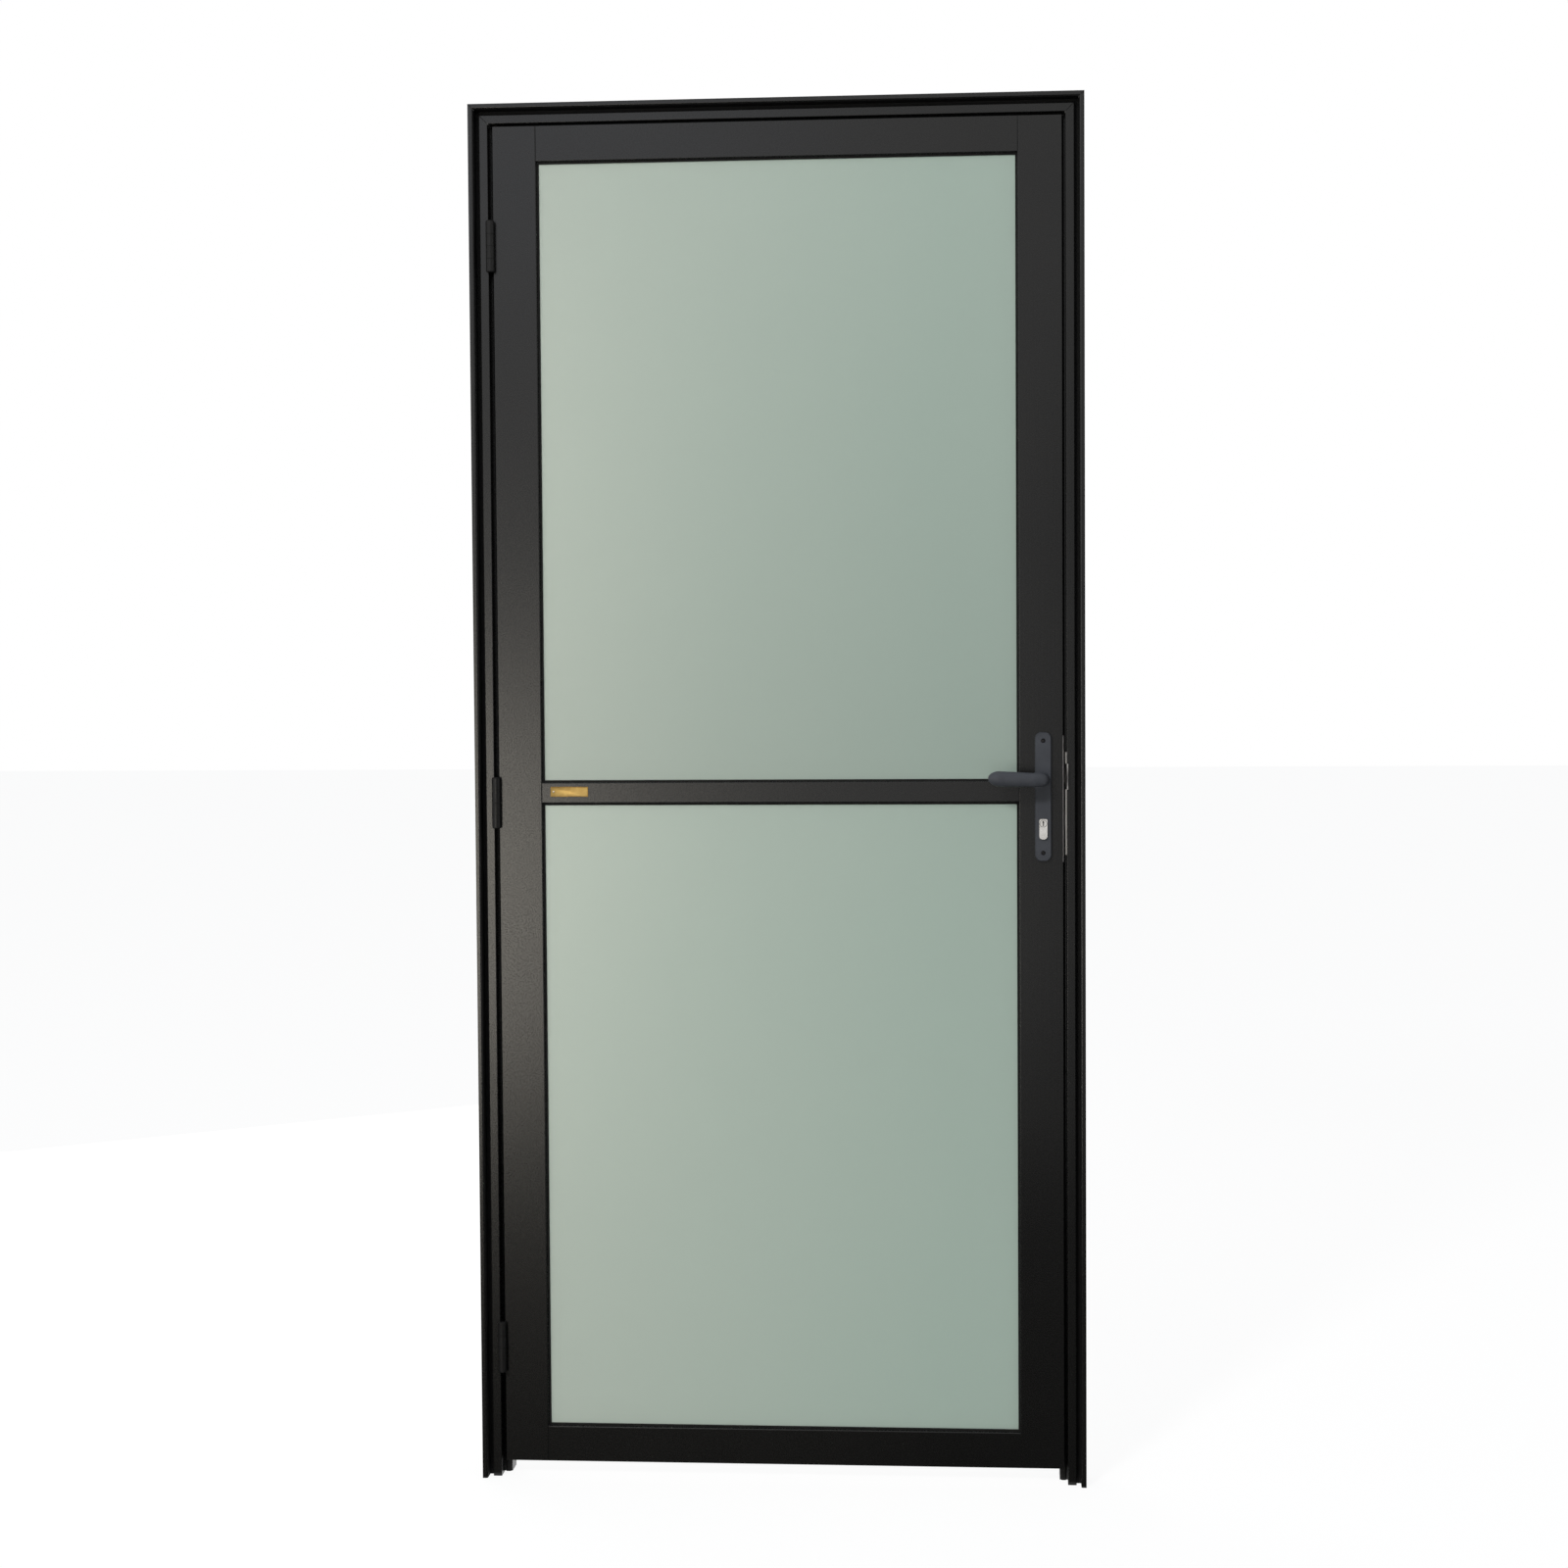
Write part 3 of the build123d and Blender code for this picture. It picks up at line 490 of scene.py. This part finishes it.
def buildHingeScrews():
    spread = random.Random(hingeScrews["seed"])
    jambEdge, leafEdge = frameLeft + section["band"], leafLow.x
    for side, face, outward in (("frame", jambEdge + hingeScrews["plate"], 1.0),
                                ("leaf", leafEdge - hingeScrews["plate"], -1.0)):
        bm = bmesh.new()
        for height in ("upper", "middle", "lower"):
            low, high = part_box(height + "_hinge_" + side + "_plate")
            for step in (-1, 0, 1):
                level = (low.z + high.z) / 2 + step * hingeScrews["pitch"]
                place = (face, leafFront + hingeScrews["depth"], level)
                driveScrew(bm, facing(place, (outward, 0, 0), spread.uniform(0, 1.5)), hingeScrews)
        addPiece(side + "HingeScrews", bm, side, blackHinge)


# The small gold plate on the middle rail, left bare

badgeLook = {
    "left": 0.1085, "right": 0.1670,     # across the door
    "low": 1.0668, "high": 1.0822,       # above the floor
    "thickness": 0.0009,
    "corner": 0.0006,
    "rim": 0.0010,
    "rivetRadius": 0.0015,
    "rivetInset": 0.0048,
    "metallic": 0.85,
    "roughness": (0.28, 0.46),
    "brushScale": 2600.0,
    "brushStretch": 0.04,
    "brushDepth": 0.00004,
    "wearScale": 150.0,
    "bump": 0.25,
}


def goldMaterial(name, dark, light, glow):
    mat, tree, shader, coords = startMaterial(name)
    stretch = (badgeLook["brushStretch"], 1.0, 1.0)
    brushed = noise(tree, stretched(tree, coords, stretch), badgeLook["brushScale"], 3.0)
    wear = noise(tree, coords, badgeLook["wearScale"], 3.0)
    body = colourRamp(tree, wear, ((0.35, dark), (0.65, light)))
    sheen = between(tree, brushed, 0.0, 0.6)
    tree.links.new(mixColour(tree, sheen, body, glow), shader.inputs["Base Color"])
    shader.inputs["Metallic"].default_value = badgeLook["metallic"]
    tree.links.new(between(tree, brushed, *badgeLook["roughness"]), shader.inputs["Roughness"])
    bump(tree, shader, brushed, badgeLook["bump"], badgeLook["brushDepth"])
    return mat


brushedGold = goldMaterial("brushedGold", (0.27, 0.165, 0.045), (0.37, 0.245, 0.075), (0.46, 0.33, 0.12))
rimGold = goldMaterial("rimGold", (0.15, 0.08, 0.018), (0.24, 0.14, 0.035), (0.33, 0.21, 0.06))


def buildBadge():
    look = badgeLook
    width, height = look["right"] - look["left"], look["high"] - look["low"]
    middle = Vector(((look["left"] + look["right"]) / 2, leafFront, (look["low"] + look["high"]) / 2))
    matrix = facing(middle, (0, -1, 0))
    t, rim = look["thickness"], look["rim"]
    bm = bmesh.new()
    # up the edge, over the raised rim, and down to the sunk field
    plateShape(bm, matrix, width, height, look["corner"], (
        (0.0, 0.0), (0.0, t * 0.75), (0.0002, t), (rim * 0.7, t), (rim, t * 0.55), (rim * 1.1, t * 0.5)))
    plate = addPiece("goldPlate", bm, "leaf", brushedGold)
    plate.data.materials.append(rimGold)
    field = max(plate.data.polygons, key=lambda face: face.area)
    for face in plate.data.polygons:
        face.material_index = 0 if face.index == field.index else 1   # all but the field is rim
    bm = bmesh.new()
    place = middle + Vector((look["rivetInset"] - width / 2, -t * 0.5, 0.0))
    r = look["rivetRadius"]
    turnedShape(bm, facing(place, (0, -1, 0)), (
        (r, 0.0), (r * 0.97, r * 0.25), (r * 0.75, r * 0.5), (r * 0.4, r * 0.62), (r * 0.1, r * 0.65)), 24)
    addPiece("goldPlateRivet", bm, "leaf", satinNickel)


# Both ends of the lock cylinder: the turning plug and its keyway

plugLook = {
    "radius": 0.0052,
    "ring": 0.00045,               # width of the hairline round it
    "ringLow": 0.00003, "ringHigh": 0.00012,
    "proud": 0.0005,
    "drop": 0.0068,                # below the cylinder's top
    "keyway": (0.0013, 0.0036),    # half its width and height
    "keywayDepth": 0.004,
}


def keywayOutline(w, h):
    return [(-w, h), (w, h), (w, h * 0.35), (w * 0.45, h * 0.2), (w * 0.9, 0.0), (w * 0.9, -h * 0.35),
            (w * 0.3, -h * 0.55), (w * 0.7, -h * 0.75), (w * 0.7, -h), (-w * 0.6, -h), (-w * 0.6, -h * 0.6),
            (-w * 0.2, -h * 0.4), (-w * 0.8, -h * 0.15), (-w * 0.3, h * 0.15), (-w, h * 0.4)]


def buildPlugs():
    low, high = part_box("lock_cylinder")
    centre = Vector(((low.x + high.x) / 2, 0.0, high.z - plugLook["drop"]))
    r, lift, outer = plugLook["radius"], plugLook["proud"], plugLook["radius"] + plugLook["ring"]
    ringLow, ringHigh = plugLook["ringLow"], plugLook["ringHigh"]
    slot = keywayOutline(*plugLook["keyway"])
    for name, face, outward in (("frontPlug", low.y, -1.0), ("rearPlug", high.y, 1.0)):
        matrix = facing((centre.x, face, centre.z), (0, outward, 0))
        bm = bmesh.new()
        rings = turnedShape(bm, matrix, (
            (r, -0.0002), (r, lift * 0.6), (r * 0.97, lift), (r * 0.9, lift)), closeLast=False)
        fillBetween(bm, rings[-1], loopOf(bm, [(x, y, lift) for x, y in slot], matrix))
        addPiece(name, bm, "leaf", satinNickel, 25.0)
        # the keyway's inside, dark as painted shade, and the hairline ring round the plug
        bm = bmesh.new()
        mouth = loopOf(bm, [(x, y, lift) for x, y in slot], matrix)
        deep = loopOf(bm, [(x, y, -plugLook["keywayDepth"]) for x, y in slot], matrix)
        joinLoops(bm, mouth, deep)
        bm.faces.new(deep)
        turnedShape(bm, matrix, (
            (outer, ringLow), (outer, ringHigh), (r, ringHigh), (r, ringLow)), closeLast=False)
        addPiece(name + "Shadow", bm, "leaf", seamShadow, 25.0)


# Hairline seams where the extrusions meet

seamLook = {"width": 0.0006, "mitre": 0.0009, "lift": 0.0001, "short": 0.0006}   # short: of each rail's edges
seamShadow = rubberMaterial("seamShadow", (0.002, 0.002, 0.002), (0.004, 0.004, 0.004))


def stripBetween(bm, first, second, across, lift, width):
    # a flat ribbon from first to second, lifted off the face it lies on
    a, b = Vector(first), Vector(second)
    w, up = Vector(across) * width / 2, Vector(lift) * seamLook["lift"]
    corners = [a - w, a + w, b + w, b - w]
    top = [bm.verts.new(c + up) for c in corners]
    base = [bm.verts.new(c - up * 0.5) for c in corners]
    bm.faces.new(top)
    bm.faces.new(base[::-1])
    joinLoops(bm, base, top)


def buildLeafSeams():
    bm = bmesh.new()
    for node in ("top_rail", "mid_rail", "bottom_rail"):
        low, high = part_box(node)
        foot, head = low.z + seamLook["short"], high.z - seamLook["short"]
        for x in (sightLeft, sightRight):
            for y, outward in ((leafFront, -1), (leafBack, 1)):
                stripBetween(bm, (x, y, foot), (x, y, head), (1, 0, 0), (0, outward, 0), seamLook["width"])
    addPiece("leafSeams", bm, "leaf", seamShadow)


def buildMitreSeams():
    # follows the section's front outline across each top corner
    lip, groove, floor = section["lip"], section["groove"], section["grooveFloor"]
    front, band = frameFront, leafFront
    outline = [(0.0, front + 0.0005), (0.0002, front), (0.0048, front), (0.0068, front + 0.0008),
               (lip, front + 0.0025), (lip, floor), (groove, floor), (groove, band + 0.001),
               (0.016, band), (0.027, band)]
    bm = bmesh.new()
    for corner, direction in ((frameLeft, 1), (frameRight, -1)):
        path = [Vector((corner + direction * inward, y, frameTop - inward)) for inward, y in outline]
        across = Vector((direction, 0, 1)).normalized()
        for first, second in zip(path, path[1:]):
            along = (second - first).normalized()
            normal = along.cross(across).normalized()
            if normal.y > 0.01 or (abs(normal.y) <= 0.01 and normal.x * direction > 0):
                normal = -normal
            stripBetween(bm, first, second, across, normal, seamLook["mitre"])
    addPiece("mitreSeams", bm, "frame", seamShadow)


# Black liner on the walls and floor of the frame's groove: painted shade, where the deep groove falls dark

shadeLinerLook = {"thickness": 0.0003, "sink": 0.00005, "lipEdge": 0.0012, "bandEdge": 0.0013}


def buildGrooveShadeLiner():
    lip, groove, floor = section["lip"], section["groove"], section["grooveFloor"]
    t, sink = shadeLinerLook["thickness"], shadeLinerLook["sink"]
    lipEnd, bandEnd = frameFront + shadeLinerLook["lipEdge"], leafFront + shadeLinerLook["bandEdge"]
    # the side sunk in the aluminium, then back along the side that shows
    walls = ((lip - sink, lipEnd), (lip - sink, floor + sink),
             (groove + sink, floor + sink), (groove + sink, bandEnd),
             (groove - t, bandEnd), (groove - t, floor - t), (lip + t, floor - t), (lip + t, lipEnd))
    bm = bmesh.new()
    corners = ((frameLeft, 1, 0.0), (frameLeft, 1, frameTop), (frameRight, -1, frameTop), (frameRight, -1, 0.0))
    rings = []
    for edge, inward, height in corners:
        rings.append(loopOf(bm, [(edge + inward * u, y, height - u if height else 0.0) for u, y in walls]))
    for first, second in zip(rings, rings[1:]):
        joinLoops(bm, first, second)
    bm.faces.new(rings[0])
    bm.faces.new(rings[-1][::-1])
    addPiece("grooveShadeLiner", bm, "frame", seamShadow, 30.0)


# Pale strips in the top inside corners, running back along the mitres: a painted glint where the mitres catch
# the light

cornerGlintLook = {
    "leg": 0.0013, "start": 0.001, "stop": 0.003,        # beside the leaf, from its front to the stop
    "grooveLeg": 0.0007, "grooveStart": 0.0006, "grooveEnd": 0.012,
}
paleGlintPaint = rubberMaterial("paleGlintPaint", (0.16, 0.16, 0.155), (0.26, 0.26, 0.25))


def buildCornerPaintedGlint():
    rebateGlint = (section["band"], cornerGlintLook["leg"],
                  leafFront + cornerGlintLook["start"], leafBack + cornerGlintLook["stop"])
    grooveGlint = (section["lip"] + shadeLinerLook["thickness"], cornerGlintLook["grooveLeg"],
                  frameFront + cornerGlintLook["grooveStart"], frameFront + cornerGlintLook["grooveEnd"])
    bm = bmesh.new()
    for edge, inward in ((frameLeft, 1), (frameRight, -1)):
        for reach, leg, start, end in (rebateGlint, grooveGlint):
            corner = ((reach, reach), (reach + leg, reach), (reach, reach + leg))
            loops = [loopOf(bm, [(edge + inward * u, y, frameTop - v) for u, v in corner])
                     for y in (start, end)]
            joinLoops(bm, *loops)
            bm.faces.new(loops[0])
            bm.faces.new(loops[1][::-1])
    addPiece("cornerPaintedGlint", bm, "frame", paleGlintPaint, 30.0)


buildHandleScrews()
buildEdgeScrews()
buildHingeScrews()
buildBadge()
buildPlugs()
buildLeafSeams()
buildGrooveShadeLiner()
buildCornerPaintedGlint()
buildMitreSeams()
# the liner is painted shade in the groove, and the sealant a painted glint in the top corners
print("screws, gold plate, plugs, seams, liner and sealant")


# Floor, lights and camera

floorLook = {
    "glow": 0.915, "seen": 0.10,   # what the camera sees: nearly white, with a faint shadow
    "unseen": 0.45,                # how much light it throws back at the door
    "halfSize": 30.0,
}
rayKinds = ("Is Camera Ray", "Is Glossy Ray", "Is Transmission Ray")


def seenDirectly(tree):
    # 1 for a ray that shows the background, 0 for one that only gathers light
    path = tree.nodes.new("ShaderNodeLightPath")
    value = path.outputs[rayKinds[0]]
    for kind in rayKinds[1:]:
        either = tree.nodes.new("ShaderNodeMath")
        either.operation = "MAXIMUM"
        tree.links.new(value, either.inputs[0])
        tree.links.new(path.outputs[kind], either.inputs[1])
        value = either.outputs["Value"]
    return value


def stageSheet(name, corners, material):
    mesh = bpy.data.meshes.new(name)
    mesh.from_pydata(corners, [], [(0, 1, 2, 3)])
    mesh.materials.append(material)
    sheet = bpy.data.objects.new(name, mesh)
    bpy.context.scene.collection.objects.link(sheet)
    return sheet


def buildFloor():
    mat = bpy.data.materials.new("paleFloor")
    mat.use_nodes = True
    tree = mat.node_tree
    tree.nodes.clear()
    out = tree.nodes.new("ShaderNodeOutputMaterial")
    seen = tree.nodes.new("ShaderNodeBsdfDiffuse")
    seen.inputs["Color"].default_value = (floorLook["seen"],) * 3 + (1.0,)
    glow = tree.nodes.new("ShaderNodeEmission")
    glow.inputs["Strength"].default_value = floorLook["glow"]
    pale = tree.nodes.new("ShaderNodeAddShader")
    unseen = tree.nodes.new("ShaderNodeBsdfDiffuse")
    unseen.inputs["Color"].default_value = (floorLook["unseen"],) * 3 + (1.0,)
    mix = tree.nodes.new("ShaderNodeMixShader")
    tree.links.new(seen.outputs[0], pale.inputs[0])
    tree.links.new(glow.outputs[0], pale.inputs[1])
    tree.links.new(seenDirectly(tree), mix.inputs[0])
    tree.links.new(unseen.outputs[0], mix.inputs[1])
    tree.links.new(pale.outputs[0], mix.inputs[2])
    tree.links.new(mix.outputs[0], out.inputs["Surface"])
    half = floorLook["halfSize"]
    stageSheet("floor", ((-half, -half, 0), (half, -half, 0), (half, half, 0), (-half, half, 0)), mat)


# Dark cards that only reflections see: one on the floor in front of the door, one standing to its right

darkCards = {
    "floorCard": ((-2.2, -3.6, 0.002), (2.8, -3.6, 0.002), (2.8, -0.02, 0.002), (-2.2, -0.02, 0.002)),
    "rightCard": ((1.12, -3.6, 0.0), (2.6, -1.4, 0.0), (2.6, -1.4, 2.1), (1.12, -3.6, 2.1)),
}


def buildDarkCards():
    mat = bpy.data.materials.new("darkFelt")
    mat.use_nodes = True
    shader = mat.node_tree.nodes["Principled BSDF"]
    shader.inputs["Base Color"].default_value = (0.01, 0.01, 0.01, 1.0)
    shader.inputs["Roughness"].default_value = 0.9
    shader.inputs["Specular IOR Level"].default_value = 0.0
    for name, corners in darkCards.items():
        card = stageSheet(name, corners, mat)
        card.visible_camera = False
        card.visible_diffuse = False
        card.visible_shadow = False
        card.visible_transmission = False


worldLook = {
    "ground": (0.35, 0.34, 0.33),
    "horizon": (0.66, 0.65, 0.63),
    "sky": (0.72, 0.76, 0.82),
    "strength": 0.6,
}


def buildWorld():
    world = bpy.data.worlds.new("studio")
    bpy.context.scene.world = world
    world.use_nodes = True
    tree = world.node_tree
    tree.nodes.clear()
    out = tree.nodes.new("ShaderNodeOutputWorld")
    coords = tree.nodes.new("ShaderNodeTexCoord").outputs["Generated"]
    split = tree.nodes.new("ShaderNodeSeparateXYZ")
    tree.links.new(coords, split.inputs[0])
    height = between(tree, split.outputs["Z"], 0.0, 1.0, -0.5, 0.5)
    tint = colourRamp(tree, height, (
        (0.30, worldLook["ground"]), (0.52, worldLook["horizon"]), (0.80, worldLook["sky"])))
    lit = tree.nodes.new("ShaderNodeBackground")
    lit.inputs["Strength"].default_value = worldLook["strength"]
    tree.links.new(tint, lit.inputs["Color"])
    white = tree.nodes.new("ShaderNodeBackground")
    white.inputs["Color"].default_value = (1.0, 1.0, 1.0, 1.0)
    mix = tree.nodes.new("ShaderNodeMixShader")
    tree.links.new(seenDirectly(tree), mix.inputs[0])
    tree.links.new(lit.outputs[0], mix.inputs[1])
    tree.links.new(white.outputs[0], mix.inputs[2])
    tree.links.new(mix.outputs[0], out.inputs["Surface"])


# The key lights matt surfaces only: the paint shows no hot spot from it

lamps = {
    "keySoftbox": {
        "place": (-2.4, -7.6, 5.6), "aim": (0.6, 0.0, 1.1), "size": (1.2, 1.2),
        "power": 520, "tint": (1.0, 0.98, 0.95), "glossy": False,
    },
    "lowSoftbox": {
        "place": (-0.95, -4.2, 0.43), "aim": (0.1, 0.0, 0.8), "size": (0.85, 1.4),
        "power": 35, "tint": (1.0, 0.93, 0.80), "glossy": True,
    },
    "skyPanel": {
        "place": (-0.75, -3.6, 2.95), "aim": (0.2, 0.0, 2.0), "size": (2.0, 1.1),
        "power": 6.5, "tint": (0.84, 0.88, 1.0), "glossy": True,
    },
    "rearSoftbox": {
        "place": (-1.6, 2.8, 1.2), "aim": (0.45, 0.0, 1.0), "size": (2.4, 2.4),
        "power": 70, "tint": (1.0, 0.95, 0.88), "glossy": True,
    },
}


def buildLamps():
    for name, lamp in lamps.items():
        data = bpy.data.lights.new(name, "AREA")
        data.shape = "RECTANGLE"
        data.size, data.size_y = lamp["size"]
        data.energy = lamp["power"]
        data.color = lamp["tint"]
        obj = bpy.data.objects.new(name, data)
        obj.location = lamp["place"]
        aim = Vector(lamp["aim"]) - obj.location
        obj.rotation_euler = aim.to_track_quat("-Z", "Y").to_euler()
        obj.visible_camera = False
        obj.visible_glossy = lamp["glossy"]
        bpy.context.scene.collection.objects.link(obj)


cameraLook = {
    "place": (0.7841, -4.1243, 1.2619),
    "lens": 61.54,        # on a sensor 36 mm wide
    "turn": 4.35,         # degrees to the left of straight on
    "dip": 2.45,          # degrees below level
    "roll": -0.37,
}


def buildCamera():
    data = bpy.data.cameras.new("camera")
    data.lens = cameraLook["lens"]
    data.sensor_width = 36.0
    data.clip_end = 200.0
    camera = bpy.data.objects.new("camera", data)
    bpy.context.scene.collection.objects.link(camera)
    turn = Matrix.Rotation(math.radians(cameraLook["turn"]), 4, "Z")
    tilt = Matrix.Rotation(math.radians(90 - cameraLook["dip"]), 4, "X")
    roll = Matrix.Rotation(math.radians(cameraLook["roll"]), 4, "Z")
    camera.matrix_world = Matrix.Translation(cameraLook["place"]) @ turn @ tilt @ roll
    bpy.context.scene.camera = camera


buildFloor()
buildDarkCards()
buildWorld()
buildLamps()
buildCamera()
bpy.context.scene.view_settings.view_transform = "Standard"
print("floor, lights and camera")
